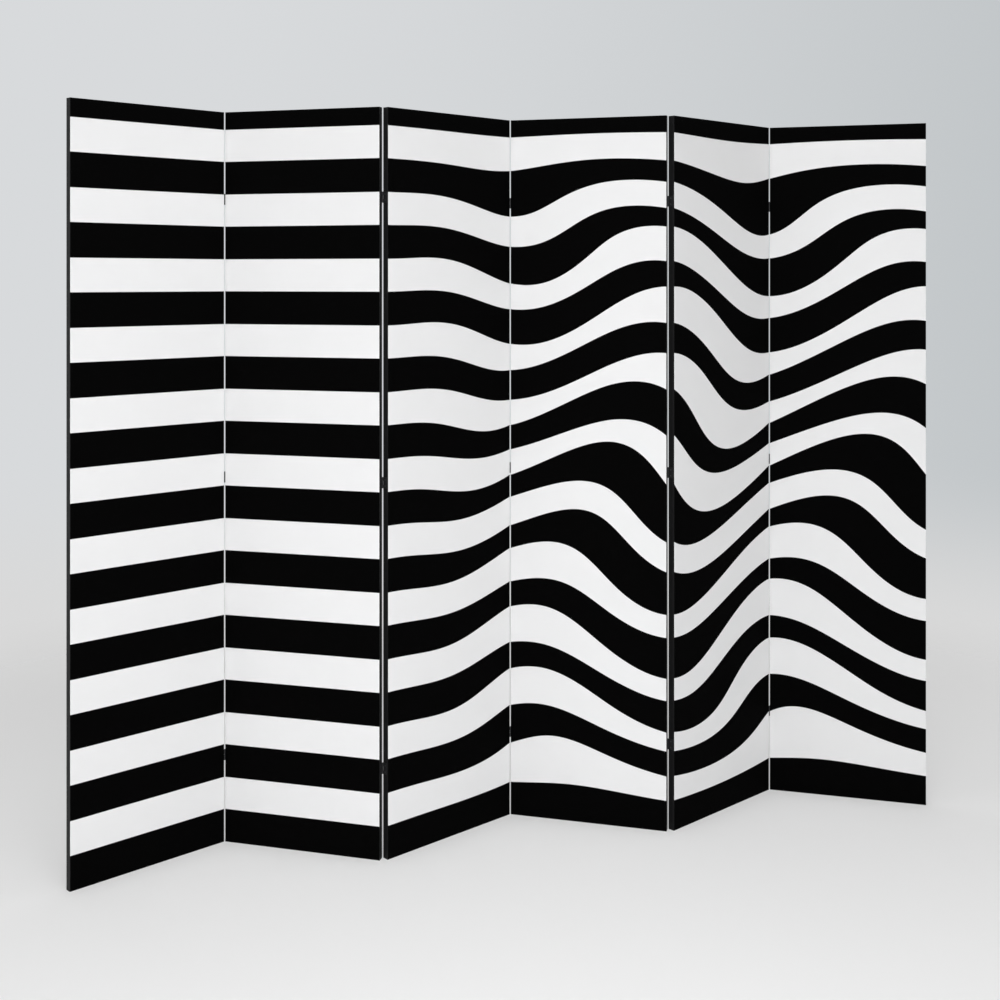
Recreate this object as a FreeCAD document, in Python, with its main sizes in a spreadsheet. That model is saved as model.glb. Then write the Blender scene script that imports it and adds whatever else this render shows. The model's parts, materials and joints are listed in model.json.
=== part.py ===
import FreeCAD, Part
import os
import Sketcher

# A folding screen of six panels, stood up in a zigzag: printed cloth on both faces of
# tenoned wooden frames, with three small butt hinges at every fold.
# It stands on z = 0. +X runs along the row from its left end, +Y from the front of the
# row to its back, and the origin is under the middle of the row.
#
# A panel's pieces are drawn round the middle of the panel: x across it, y through it
# from the front canvas to the back one, and z up.
# A hinge's pieces are drawn round its pin, at the height of the lowest hinge, with both
# leaves reaching along +y from the face that the pin stands in front of.

PANEL_COUNT = 6
HINGES_PER_FOLD = 3
# Degrees between a screw and the slope of its head
COUNTERSINK = 45
SCREWS_PER_LEAF = 2
# The knuckles and screws are only a few millimetres across, so each is drawn with flats
SMALL_ROUND_SIDES = 8
# Millimetres within which two points count as one
SAME_POINT = 1e-6

SIZES = (
    # The panels
    ("panel_height", 1800, "from the floor to the top of a panel"),
    ("panel_width", 406, "across one panel"),
    ("panel_turn", 30, "degrees that each panel is turned out of the row"),
    ("frame_thickness", 17, "of every member of a frame, front to back"),
    ("canvas_thickness", 0.6, "of the cloth on each face of a frame"),
    # The members of a frame
    ("stile_width", 40, "across an upright"),
    ("end_rail_width", 40, "height of the top and the bottom rail"),
    ("cross_rail_width", 30, "height of an inner rail"),
    ("arris_bevel", 1.5, "bevel on the inner edges, which keeps them off the cloth"),
    ("tenon_length", 25, "from a rail's shoulder to the end of its tenon"),
    ("tenon_thickness", 6, "of a tenon, front to back"),
    ("tenon_shoulder", 8, "step above and below a tenon"),
    ("tenon_play", 0.1, "between a tenon and its mortise, all round"),
    # The hinges
    ("hinge_gap", 2.8, "between two panels that stand in line"),
    ("hinge_inset", 215, "from a panel's end to the middle of the hinge near it"),
    ("hinge_height", 27, "of one hinge"),
    ("leaf_depth", 14, "from the pin to the far edge of a leaf"),
    ("leaf_thickness", 0.8, "of a leaf"),
    ("knuckle_radius", 1.3, "outside of the rolled knuckles, to their corners"),
    ("knuckle_play", 0.1, "between one knuckle and the next, along the pin"),
    ("notch_play", 0.3, "between a knuckle and the leaf cut back for it"),
    ("pin_standoff", 0.4, "from the face of the canvas out to the middle of the pin"),
    ("pin_radius", 0.55, "of the pin"),
    ("pin_play", 0.05, "between the pin and the knuckle that turns on it"),
    # The screws in the leaves
    ("screw_length", 10, "from the face of the head to the end"),
    ("screw_radius", 1, "of the shank, to its flats"),
    ("screw_play", 0.05, "between a screw and its hole"),
    ("screw_pitch", 15, "between the two screws of a leaf"),
    ("screw_reach", 8, "from the pin to the middle of a screw"),
    # For every cut that runs out into the open
    ("overrun", 1, "how far a cut runs past the material"),
)

# Sizes that follow from the sheet, as expressions
HALF_WIDTH = "(Sizes.panel_width / 2)"
HALF_FRAME = "(Sizes.frame_thickness / 2)"
INNER_EDGE = "(Sizes.panel_width / 2 - Sizes.stile_width)"
OPENING_WIDTH = "(Sizes.panel_width - 2 * Sizes.stile_width)"
HALF_TENON = "(Sizes.tenon_thickness / 2)"
END_RAIL_HEIGHT = "((Sizes.panel_height - Sizes.end_rail_width) / 2)"
CROSS_RAIL_HEIGHT = (
    "((Sizes.panel_height - 2 * Sizes.end_rail_width + Sizes.cross_rail_width) / 6)"
)
PIN_SIDE = "(Sizes.frame_thickness / 2 + Sizes.canvas_thickness + Sizes.pin_standoff)"
HINGE_SPACING = "(Sizes.panel_height / 2 - Sizes.hinge_inset)"
LEAF_FACE = "(Sizes.hinge_gap / 2 - Sizes.leaf_thickness)"
HEAD_RADIUS = "(Sizes.screw_radius + Sizes.leaf_thickness)"
SHANK_LENGTH = "(Sizes.screw_length - Sizes.leaf_thickness)"
SCREW_SIDE = f"({PIN_SIDE} - Sizes.screw_reach)"
LOWEST_SCREW = f"(-{HINGE_SPACING} - Sizes.screw_pitch / 2)"
FOLD_REACH = "((Sizes.panel_width + Sizes.hinge_gap) / 2)"
PANEL_PITCH = (
    f"(2 * ({FOLD_REACH} * cos(Sizes.panel_turn) + {PIN_SIDE} * sin(Sizes.panel_turn)))"
)
FOLD_DEPTH = f"({FOLD_REACH} * sin(Sizes.panel_turn) - {PIN_SIDE} * cos(Sizes.panel_turn))"

# A rail's name, the middle of its height above the panel's middle, and its own height
RAILS = (
    ("end", END_RAIL_HEIGHT, "Sizes.end_rail_width"),
    ("cross", CROSS_RAIL_HEIGHT, "Sizes.cross_rail_width"),
)

LEFT = -1
RIGHT = 1
FRONT = -1
BACK = 1

doc = FreeCAD.newDocument("folding_screen")
sheet = doc.addObject("Spreadsheet::Sheet", "Sizes")
for row, (alias, number, note) in enumerate(SIZES, 1):
    sheet.set(f"A{row}", alias)
    sheet.set(f"B{row}", str(number))
    sheet.set(f"C{row}", note)
    sheet.setAlias(f"B{row}", alias)
doc.recompute()


# Small helpers, for bodies, sketches and features


def worked_out(expression):
    """The number that an expression gives with the sheet's sizes."""
    found = sheet.evalExpression(expression)
    return float(getattr(found, "Value", found))


def new_body(name, along, across, height, turn):
    """An empty body at a place in the row, turned about the vertical."""
    body = doc.addObject("PartDesign::Body", name)
    body.Label = name
    body.setExpression(".Placement.Base.x", along)
    body.setExpression(".Placement.Base.y", across)
    body.setExpression(".Placement.Base.z", height)
    body.setExpression(".Placement.Rotation.Angle", turn)
    return body


def origin_feature(body, role):
    """One of a body's own origin planes or axes."""
    return next(f for f in body.Origin.OriginFeatures if f.Role == role)


def new_sketch(body, name, plane, offset="0", up="0"):
    """A sketch on an origin plane, moved off it by offset and along its own y by up."""
    sketch = body.newObject("Sketcher::SketchObject", name)
    sketch.AttachmentSupport = [(origin_feature(body, plane), "")]
    sketch.MapMode = "FlatFace"
    sketch.setExpression(".AttachmentOffset.Base.y", up)
    sketch.setExpression(".AttachmentOffset.Base.z", offset)
    return sketch


def hold_point(sketch, geometry, end, x, y):
    """Ties a point of a sketch to its distances from the sketch's origin."""
    for direction, expression in (("DistanceX", x), ("DistanceY", y)):
        distance = worked_out(expression)
        rule = Sketcher.Constraint(direction, -1, 1, geometry, end, distance)
        number = sketch.addConstraint(rule)
        sketch.setExpression(f"Constraints[{number}]", expression)


def draw_outline(sketch, corners):
    """A closed outline of straight lines through corners, each a pair of expressions."""
    spots = [FreeCAD.Vector(worked_out(x), worked_out(y)) for x, y in corners]
    first = sketch.GeometryCount
    for spot, following in zip(spots, spots[1:] + spots[:1]):
        sketch.addGeometry(Part.LineSegment(spot, following), False)
    for number, (x, y) in enumerate(corners):
        line = first + number
        before = first + (number - 1) % len(corners)
        sketch.addConstraint(Sketcher.Constraint("Coincident", before, 2, line, 1))
        hold_point(sketch, line, 1, x, y)


def draw_rectangle(sketch, x_from, x_to, y_from, y_to):
    """An upright rectangle between four expressions."""
    draw_outline(
        sketch,
        ((x_from, y_from), (x_to, y_from), (x_to, y_to), (x_from, y_to)),
    )


def draw_circle(sketch, x, y, radius):
    """A circle whose middle and radius are expressions."""
    middle = FreeCAD.Vector(worked_out(x), worked_out(y))
    upright = FreeCAD.Vector(0, 0, 1)
    circle = sketch.addGeometry(Part.Circle(middle, upright, worked_out(radius)), False)
    hold_point(sketch, circle, 3, x, y)
    rule = Sketcher.Constraint("Radius", circle, worked_out(radius))
    number = sketch.addConstraint(rule)
    sketch.setExpression(f"Constraints[{number}]", radius)


def draw_flats(sketch, x, y, radius):
    """A small round drawn with flats that touch the circle of a given radius."""
    to_corner = f"({radius} / cos(180 / {SMALL_ROUND_SIDES}))"
    draw_corners(sketch, x, y, to_corner)


def draw_corners(sketch, x, y, radius):
    """A small round drawn with flats whose corners lie on the circle of a given radius."""
    angles = [f"({side} + 0.5) * 360 / {SMALL_ROUND_SIDES}" for side in range(SMALL_ROUND_SIDES)]
    draw_outline(
        sketch,
        [(f"{x} + {radius} * cos({turn})", f"{y} + {radius} * sin({turn})") for turn in angles],
    )


def new_feature(body, kind, name, **properties):
    """A feature at the end of a body, which becomes the body's tip."""
    feature = body.newObject(f"PartDesign::{kind}", name)
    for key, setting in properties.items():
        setattr(feature, key, setting)
    body.Tip = feature
    return feature


def new_pad(body, name, sketch, length, **properties):
    """Material of a given length, half on each side of the sketch unless told otherwise."""
    properties.setdefault("SideType", "Symmetric")
    pad = new_feature(body, "Pad", name, Profile=sketch, **properties)
    pad.setExpression("Length", length)
    return pad


def new_pocket(body, name, sketch, length, **properties):
    """A cut of a given depth, against the sketch's normal unless told otherwise."""
    pocket = new_feature(body, "Pocket", name, Profile=sketch, **properties)
    pocket.setExpression("Length", length)
    return pocket


def new_bore(body, name, sketch):
    """A cut right through, to both sides of the sketch."""
    return new_feature(
        body, "Pocket", name, Profile=sketch, SideType="Symmetric", Type="ThroughAll"
    )


def new_pattern(body, name, count, spacing):
    """Copies of the whole body, one above the other."""
    doc.recompute()
    pattern = new_feature(
        body,
        "LinearPattern",
        name,
        TransformMode="Whole shape",
        Direction=(origin_feature(body, "Z_Axis"), [""]),
        Mode="Spacing",
        Occurrences=count,
    )
    pattern.setExpression("Offset", spacing)
    return pattern


def repeat_up_the_edge(body, name, features):
    """One screw or pilot hole, made into every one of an edge."""
    doc.recompute()
    steps = []
    for count, spacing in (
        (SCREWS_PER_LEAF, "Sizes.screw_pitch"),
        (HINGES_PER_FOLD, HINGE_SPACING),
    ):
        step = body.newObject("PartDesign::LinearPattern", "step_up")
        step.Direction = (origin_feature(body, "Z_Axis"), [""])
        step.Mode = "Spacing"
        step.Occurrences = count
        step.setExpression("Offset", spacing)
        steps.append(step)
    new_feature(body, "MultiTransform", name, Originals=features, Transformations=steps)


def bevel_edges(body, name, feature, middles):
    """Bevels the edges of a feature whose middles are at the given points."""
    doc.recompute()
    wanted = [FreeCAD.Vector(*(worked_out(part) for part in middle)) for middle in middles]
    names = [
        f"Edge{number}"
        for number, edge in enumerate(feature.Shape.Edges, 1)
        if any(edge.CenterOfMass.isEqual(point, SAME_POINT) for point in wanted)
    ]
    bevel = new_feature(body, "Chamfer", name, Base=(feature, names))
    bevel.setExpression("Size", "Sizes.arris_bevel")
    return bevel


# The panels


def panel_body(panel, piece):
    """A body at one panel's place, turned as that panel is."""
    return new_body(
        f"panel_{panel}_{piece}",
        f"({panel} - ({PANEL_COUNT} + 1) / 2) * {PANEL_PITCH}",
        "0",
        "Sizes.panel_height / 2",
        f"{panel_side(panel)} * Sizes.panel_turn",
    )


def panel_side(panel):
    """1 for a panel whose right edge is turned back, and -1 for one turned forward."""
    return 1 if panel % 2 else -1


def hinged_edges(panel):
    """The hinged edges of a panel, each with the face that its pins stand in front of."""
    edges = []
    if panel > 1:
        edges.append((LEFT, fold_side(panel - 1)))
    if panel < PANEL_COUNT:
        edges.append((RIGHT, fold_side(panel)))
    return edges


def make_stile(panel, side):
    """An upright, mortised for the rails and bored for the screws of its hinges."""
    body = panel_body(panel, "left_stile" if side == LEFT else "right_stile")
    outer = f"{side} * {HALF_WIDTH}"
    inner = f"{side} * {INNER_EDGE}"
    section = new_sketch(body, "section", "XY_Plane")
    draw_rectangle(section, outer, inner, f"-{HALF_FRAME}", HALF_FRAME)
    upright = new_pad(body, "upright", section, "Sizes.panel_height")
    middles = [(inner, f"{face} * {HALF_FRAME}", "0") for face in (FRONT, BACK)]
    bevel_edges(body, "eased_arrises", upright, middles)

    mouths = new_sketch(body, "mortise_mouths", "YZ_Plane", offset=inner)
    mouth = f"({HALF_TENON} + Sizes.tenon_play)"
    for _, height, width in RAILS:
        reach = f"({width} / 2 - Sizes.tenon_shoulder + Sizes.tenon_play)"
        for end in (-1, 1):
            middle = f"{end} * {height}"
            low = f"{middle} - {reach}"
            high = f"{middle} + {reach}"
            draw_rectangle(mouths, f"-{mouth}", mouth, low, high)
    depth = "Sizes.tenon_length + Sizes.tenon_play"
    new_pocket(body, "mortises", mouths, depth, Reversed=side == RIGHT)

    for edge, face in hinged_edges(panel):
        if edge == side:
            bore_pilot_holes(body, side, face)


def bore_pilot_holes(body, side, face):
    """Pilot holes for the hinge screws, in the outer edge of a stile."""
    mouth = new_sketch(body, "lowest_mouth", "YZ_Plane", offset=f"{side} * {HALF_WIDTH}")
    radius = "(Sizes.screw_radius + Sizes.screw_play)"
    draw_flats(mouth, f"{face} * {SCREW_SIDE}", LOWEST_SCREW, radius)
    depth = f"{SHANK_LENGTH} + Sizes.screw_play"
    pilot = new_pocket(body, "lowest_pilot", mouth, depth, Reversed=side == LEFT)
    repeat_up_the_edge(body, "pilots", [pilot])


def make_rails(panel, name, height, width):
    """A rail with a tenon at both ends, and its mirror image in the panel's other half."""
    body = panel_body(panel, f"{name}_rails")
    low = f"({height} - {width} / 2)"
    high = f"({height} + {width} / 2)"
    section = new_sketch(body, "section", "YZ_Plane")
    draw_rectangle(section, f"-{HALF_FRAME}", HALF_FRAME, low, high)
    bar = new_pad(body, "bar", section, OPENING_WIDTH)
    eased = [low] if name == "end" else [low, high]
    middles = [("0", f"{face} * {HALF_FRAME}", z) for face in (FRONT, BACK) for z in eased]
    bevel_edges(body, "eased_arrises", bar, middles)

    cheeks = new_sketch(body, "tenon_section", "YZ_Plane")
    tenon_low = f"{low} + Sizes.tenon_shoulder"
    tenon_high = f"{high} - Sizes.tenon_shoulder"
    draw_rectangle(cheeks, f"-{HALF_TENON}", HALF_TENON, tenon_low, tenon_high)
    new_pad(body, "tenons", cheeks, f"{OPENING_WIDTH} + 2 * Sizes.tenon_length")
    doc.recompute()
    new_feature(
        body,
        "Mirrored",
        "both_rails",
        TransformMode="Whole shape",
        MirrorPlane=(origin_feature(body, "XY_Plane"), [""]),
    )


def make_canvas(panel, face):
    """The cloth on one face of a frame, cut flush with the frame's edges."""
    body = panel_body(panel, "front_canvas" if face == FRONT else "back_canvas")
    cut = new_sketch(body, "cut_shape", "XZ_Plane", offset=f"-{face} * {HALF_FRAME}")
    top = "Sizes.panel_height / 2"
    draw_rectangle(cut, f"-{HALF_WIDTH}", HALF_WIDTH, f"-{top}", top)
    new_pad(
        body,
        "cloth",
        cut,
        "Sizes.canvas_thickness",
        SideType="One side",
        Reversed=face == BACK,
    )


def make_hinge_screws(panel):
    """Countersunk wood screws, flush with the leaves on the panel's hinged edges."""
    body = panel_body(panel, "hinge_screws")
    for side, face in hinged_edges(panel):
        across = f"{face} * {SCREW_SIDE}"
        wood = f"{side} * {HALF_WIDTH}"
        inwards = side == RIGHT
        neck = new_sketch(body, "neck_section", "YZ_Plane", offset=wood)
        draw_flats(neck, across, LOWEST_SCREW, "Sizes.screw_radius")
        shank = new_pad(
            body, "lowest_shank", neck, SHANK_LENGTH, SideType="One side", Reversed=inwards
        )
        head = new_pad(
            body,
            "lowest_head",
            neck,
            "Sizes.leaf_thickness",
            SideType="One side",
            Reversed=not inwards,
            TaperAngle=COUNTERSINK,
        )
        repeat_up_the_edge(body, "screws", [shank, head])


# The folds


def fold_side(fold):
    """FRONT for a fold that opens to the front, whose pins are there, or else BACK."""
    return FRONT if fold % 2 else BACK


def fold_body(fold, piece, turn):
    """A body at the pins of one fold. A hinge on the back is the same hinge turned round."""
    depth = f"{-fold_side(fold)} * {FOLD_DEPTH}"
    half_turn = 0 if fold_side(fold) == FRONT else 180
    return new_body(
        f"fold_{fold}_{piece}",
        f"({fold} - {PANEL_COUNT} / 2) * {PANEL_PITCH}",
        depth,
        "Sizes.hinge_inset",
        f"{half_turn} + {turn} * Sizes.panel_turn",
    )


def make_leaves(fold, side):
    """The leaves on one side of a fold: a flat plate with knuckles rolled round the pin.

    The plates to the left of the pin, seen with the leaves reaching away, have the two
    outer knuckles and hold the pin. Those to its right have the middle knuckle.
    """
    panel = fold if side == LEFT else fold + 1
    name = "left_leaves" if side == LEFT else "right_leaves"
    body = fold_body(fold, name, panel_side(panel))
    hand = side * -fold_side(fold)
    outer_knuckles = hand == LEFT

    plate = new_sketch(body, "plate_section", "XY_Plane")
    back = f"{hand} * Sizes.hinge_gap / 2"
    draw_rectangle(plate, back, f"{hand} * {LEAF_FACE}", "0", "Sizes.leaf_depth")
    new_pad(body, "plate", plate, "Sizes.hinge_height")
    barrel = new_sketch(body, "barrel_section", "XY_Plane")
    draw_corners(barrel, "0", "0", "Sizes.knuckle_radius")
    new_pad(body, "barrel", barrel, "Sizes.hinge_height")

    notches = new_sketch(body, "notches", "YZ_Plane")
    notch_from = "-(Sizes.knuckle_radius + Sizes.overrun)"
    notch_to = "Sizes.knuckle_radius + Sizes.notch_play"
    edge = "(Sizes.hinge_height / 6)"
    half_play = "Sizes.knuckle_play / 2"
    if outer_knuckles:
        reach = f"{edge} + {half_play}"
        draw_rectangle(notches, notch_from, notch_to, f"-({reach})", reach)
    else:
        reach = f"{edge} - {half_play}"
        beyond = "Sizes.hinge_height / 2 + Sizes.overrun"
        draw_rectangle(notches, notch_from, notch_to, f"-({beyond})", f"-({reach})")
        draw_rectangle(notches, notch_from, notch_to, reach, beyond)
    new_bore(body, "cut_back_for_knuckles", notches)

    bore = new_sketch(body, "bore_section", "XY_Plane")
    bore_radius = "Sizes.pin_radius"
    if not outer_knuckles:
        bore_radius = "(Sizes.pin_radius + Sizes.pin_play)"
    draw_flats(bore, "0", "0", bore_radius)
    new_bore(body, "pin_bore", bore)

    mouths = new_sketch(body, "hole_mouths", "YZ_Plane", offset=f"{hand} * {LEAF_FACE}")
    radius = f"({HEAD_RADIUS} + Sizes.screw_play)"
    for end in (-1, 1):
        draw_flats(mouths, "Sizes.screw_reach", f"{end} * Sizes.screw_pitch / 2", radius)
    new_pocket(
        body,
        "countersunk_holes",
        mouths,
        "Sizes.leaf_thickness",
        Reversed=hand == RIGHT,
        TaperAngle=-COUNTERSINK,
    )
    new_pattern(body, "all_leaves", HINGES_PER_FOLD, HINGE_SPACING)


def make_pins(fold):
    """Plain pins, held by the outer knuckles and cut flush with them."""
    body = fold_body(fold, "pins", 0)
    section = new_sketch(body, "pin_section", "XY_Plane")
    draw_circle(section, "0", "0", "Sizes.pin_radius")
    new_pad(body, "pin", section, "Sizes.hinge_height")
    new_pattern(body, "all_pins", HINGES_PER_FOLD, HINGE_SPACING)


for panel in range(1, PANEL_COUNT + 1):
    make_stile(panel, LEFT)
    make_stile(panel, RIGHT)
    for name, height, width in RAILS:
        make_rails(panel, name, height, width)
    make_canvas(panel, FRONT)
    make_canvas(panel, BACK)
    make_hinge_screws(panel)

for fold in range(1, PANEL_COUNT):
    make_leaves(fold, LEFT)
    make_leaves(fold, RIGHT)
    make_pins(fold)

doc.recompute()

# Check every object and every piece, then write one file for each piece
failed = [
    f"{item.Label}: {item.State}"
    for item in doc.Objects
    if {"Invalid", "Error"} & set(item.State)
]
if failed:
    raise RuntimeError("failed objects: " + "; ".join(failed))
pieces = [item for item in doc.Objects if item.TypeId == "PartDesign::Body"]
for piece in pieces:
    if piece.Shape.isNull() or not piece.Shape.isValid():
        raise RuntimeError(f"{piece.Label} has no valid shape")
os.makedirs("parts", exist_ok=True)
for piece in pieces:
    piece.Shape.exportStep(f"parts/{piece.Label}.step")
    print(f"{piece.Label}: {len(piece.Shape.Solids)} solids, {piece.Shape.Volume:.1f} mm3")
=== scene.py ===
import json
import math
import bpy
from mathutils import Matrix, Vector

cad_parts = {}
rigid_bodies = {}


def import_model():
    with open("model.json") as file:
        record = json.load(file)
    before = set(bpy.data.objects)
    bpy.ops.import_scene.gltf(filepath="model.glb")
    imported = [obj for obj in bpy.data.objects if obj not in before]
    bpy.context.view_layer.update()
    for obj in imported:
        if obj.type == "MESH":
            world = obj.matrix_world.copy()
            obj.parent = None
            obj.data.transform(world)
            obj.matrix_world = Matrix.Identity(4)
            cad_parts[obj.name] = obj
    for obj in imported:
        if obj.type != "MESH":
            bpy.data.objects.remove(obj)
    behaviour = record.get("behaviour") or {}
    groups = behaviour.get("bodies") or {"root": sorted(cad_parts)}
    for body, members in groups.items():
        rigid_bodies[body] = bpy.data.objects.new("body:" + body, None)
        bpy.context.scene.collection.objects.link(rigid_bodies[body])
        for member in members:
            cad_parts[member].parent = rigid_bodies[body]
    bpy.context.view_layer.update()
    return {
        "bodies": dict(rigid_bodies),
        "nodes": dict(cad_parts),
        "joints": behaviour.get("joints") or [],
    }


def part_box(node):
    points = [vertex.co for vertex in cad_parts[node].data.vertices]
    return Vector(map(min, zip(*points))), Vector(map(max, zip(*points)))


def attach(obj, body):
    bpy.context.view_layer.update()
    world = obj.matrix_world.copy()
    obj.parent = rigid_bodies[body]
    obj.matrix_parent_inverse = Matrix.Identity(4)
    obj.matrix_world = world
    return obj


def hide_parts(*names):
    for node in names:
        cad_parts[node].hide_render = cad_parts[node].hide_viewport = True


bl_info = {
    "name": "Folding screen",
    "version": (1, 0),
    "blender": (4, 5, 0),
    "location": "3D View > Sidebar > Folding screen",
    "description": "Printed cloth, painted wood and butt hinges for a six-panel folding screen",
    "category": "Object",
}

import bpy
from bpy.props import FloatProperty, FloatVectorProperty, IntProperty, PointerProperty
from mathutils import Matrix, Vector

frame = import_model()

# What the frame says: the folds from left to right, and the panels between them.
# At the low end of its range a fold is flat, and its two panels stand in line.
FOLDS = sorted(frame["joints"], key=lambda joint: joint["pos_m"][0])
PANEL_COUNT = len(frame["bodies"])
PANEL_PITCH = FOLDS[1]["pos_m"][0] - FOLDS[0]["pos_m"][0]
PANEL_TURN = -math.radians(FOLDS[0]["range_deg"][0]) / 2
PANEL_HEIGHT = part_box("panel_1_left_stile")[1].z

LEFT, RIGHT = -1, 1
FRONT, BACK = -1, 1
FRAME_MEMBERS = ("left_stile", "right_stile", "end_rails", "cross_rails")
SMOOTH_UNDER = math.radians(35)
BEVEL_OVER = math.radians(60)
# The map on the cloth: metres along the opened-out row, and metres above the floor
PRINT_MAP = "print_place"


# Places in the row


def panel_side(panel):
    """1 for a panel whose right edge is turned back, and -1 for one turned forward."""
    return 1 if panel % 2 else -1


def panel_place(panel):
    """From a panel's own axes (x across, y through, z up from the floor) to the row's."""
    along = (panel - (PANEL_COUNT + 1) / 2) * PANEL_PITCH
    turn = Matrix.Rotation(panel_side(panel) * PANEL_TURN, 4, "Z")
    return Matrix.Translation((along, 0, 0)) @ turn


def fold_side(fold):
    """The face of the panels that a fold's pins stand in front of."""
    return FRONT if FOLDS[fold - 1]["pos_m"][1] > 0 else BACK


def leaf_panel(fold, side):
    """The panel that the leaves on one side of a fold are screwed to."""
    return fold if side == LEFT else fold + 1


def leaf_place(fold, side):
    """From a leaf's own axes (z up the pin, y away from it over the leaf) to the row's."""
    half_turn = 0 if fold_side(fold) == FRONT else math.pi
    leaf_turn = panel_side(leaf_panel(fold, side)) * PANEL_TURN
    turn = Matrix.Rotation(half_turn + leaf_turn, 4, "Z")
    return Matrix.Translation(FOLDS[fold - 1]["pos_m"]) @ turn


def leaf_hand(fold, side):
    """1 where the leaf lies at +x of its pin, and -1 where it lies at -x."""
    return float(side * -fold_side(fold))


def hinged_edges(panel):
    """The folds at a panel's edges, each with the side of the fold that the panel is on."""
    folds = ((panel - 1, RIGHT), (panel, LEFT))
    return [(fold, side) for fold, side in folds if 1 <= fold <= len(FOLDS)]


# Node trees


def add_node(tree, kind, sockets=None, **settings):
    """A node with its settings, and each given input linked or set to a value."""
    node = tree.nodes.new(kind)
    for key, setting in settings.items():
        setattr(node, key, setting)
    for key, given in (sockets or {}).items():
        if isinstance(given, bpy.types.NodeSocket):
            tree.links.new(given, node.inputs[key])
        else:
            node.inputs[key].default_value = given
    return node


def work_out(tree, operation, *numbers):
    """The result of one Math node."""
    sockets = dict(enumerate(numbers))
    return add_node(tree, "ShaderNodeMath", sockets, operation=operation).outputs[0]


def times(tree, one, other):
    """The product of two numbers."""
    return work_out(tree, "MULTIPLY", one, other)


def times_plus(tree, one, other, more):
    """The product of two numbers, plus a third."""
    return work_out(tree, "MULTIPLY_ADD", one, other, more)


def minus(tree, one, other):
    """One number less another."""
    return work_out(tree, "SUBTRACT", one, other)


def ease(tree, number, low, high, start=0.0, end=1.0):
    """A number that turns smoothly from start to end as another goes from low to high."""
    sockets = {"Value": number, "From Min": low, "From Max": high, "To Min": start, "To Max": end}
    node = add_node(tree, "ShaderNodeMapRange", sockets, interpolation_type="SMOOTHSTEP")
    return node.outputs["Result"]


def vector(tree, **parts):
    """A vector of three numbers or sockets, 0 where none is given."""
    return add_node(tree, "ShaderNodeCombineXYZ", parts).outputs[0]


def split(tree, place):
    """The X, Y and Z of a vector."""
    return add_node(tree, "ShaderNodeSeparateXYZ", {0: place}).outputs


def new_geometry_tree(name, numbers, counts):
    """A geometry tree with inputs for numbers, for counts and for a material."""
    tree = bpy.data.node_groups.new(name, "GeometryNodeTree")
    tree.interface.new_socket("Geometry", in_out="OUTPUT", socket_type="NodeSocketGeometry")
    for kind, labels in (("Float", numbers), ("Int", counts), ("Material", ["Material"])):
        for label in labels:
            tree.interface.new_socket(label, in_out="INPUT", socket_type=f"NodeSocket{kind}")
    return tree, tree.nodes.new("NodeGroupInput").outputs


def end_tree(tree, geometry, material):
    """The last nodes of a geometry tree: plain mesh, with its material."""
    real = add_node(tree, "GeometryNodeRealizeInstances", {"Geometry": geometry})
    finished = add_node(
        tree, "GeometryNodeSetMaterial", {"Geometry": real.outputs[0], "Material": material}
    )
    tree.links.new(finished.outputs[0], tree.nodes.new("NodeGroupOutput").inputs[0])


def grow_mesh(tree, place, settings, **given):
    """The plain mesh that a geometry tree makes, put in its place.

    Each input of the tree takes what is given under its name, or else the setting of
    that name.
    """
    seed = bpy.data.objects.new("seed", bpy.data.meshes.new("seed"))
    bpy.context.collection.objects.link(seed)
    modifier = seed.modifiers.new("tree", "NODES")
    modifier.node_group = tree
    for item in tree.interface.items_tree:
        if item.in_out == "INPUT":
            key = item.name.lower().replace(" ", "_")
            modifier[item.identifier] = given[key] if key in given else getattr(settings, key)
    evaluated = seed.evaluated_get(bpy.context.evaluated_depsgraph_get())
    mesh = bpy.data.meshes.new_from_object(evaluated)
    blank = seed.data
    bpy.data.objects.remove(seed)
    bpy.data.meshes.remove(blank)
    mesh.transform(place)
    return mesh


def new_piece(name, meshes):
    """One object at the origin made of one or more meshes, smooth but for its sharp edges."""
    piece = bpy.data.objects.new(name, meshes[0])
    bpy.context.collection.objects.link(piece)
    if len(meshes) > 1:
        parts = [bpy.data.objects.new(name, mesh) for mesh in meshes[1:]]
        for part in parts:
            bpy.context.collection.objects.link(part)
        with bpy.context.temp_override(
            active_object=piece, selected_editable_objects=[piece, *parts]
        ):
            bpy.ops.object.join()
    piece.data.name = name
    piece.data.polygons.foreach_set("use_smooth", [True] * len(piece.data.polygons))
    piece.data.set_sharp_from_angle(angle=SMOOTH_UNDER)
    return piece


# Finishes

# Each noise's scale, detail and roughness
CLOTH_CLOUDS = (7.0, 4.0, 0.6)
CLOTH_SLUBS = (1.0, 2.0, 0.5)
THREAD_WANDER = (90.0, 1.0, 0.5)
WOOD_GRAIN = (260.0, 5.0, 0.65)
WOOD_PORES = (620.0, 2.0, 0.5)
PAINT_RUBBING = (38.0, 6.0, 0.7)
LACQUER_PEEL = (1400.0, 2.0, 0.5)
LACQUER_SPOTS = (420.0, 5.0, 0.7)
FLOOR_PATCHES = (1.4, 3.0, 0.5)

# How fast a noise changes along each axis, next to its own scale
SLUB_SCALE = (40.0, 900.0, 1.0)
UPRIGHT_GRAIN = (1.0, 1.0, 0.07)
LEVEL_GRAIN = (0.07, 1.0, 1.0)
EDGE_GRAIN = (1.0, 1.0, 0.3)

# Where in a noise's range its feature begins, and where it is full
SLUB_RANGE = (0.62, 0.8)
PORE_RANGE = (0.56, 0.72)
RUBBED_RANGE = (0.5, 0.85)
SPOT_RANGE = (0.58, 0.74)

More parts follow.
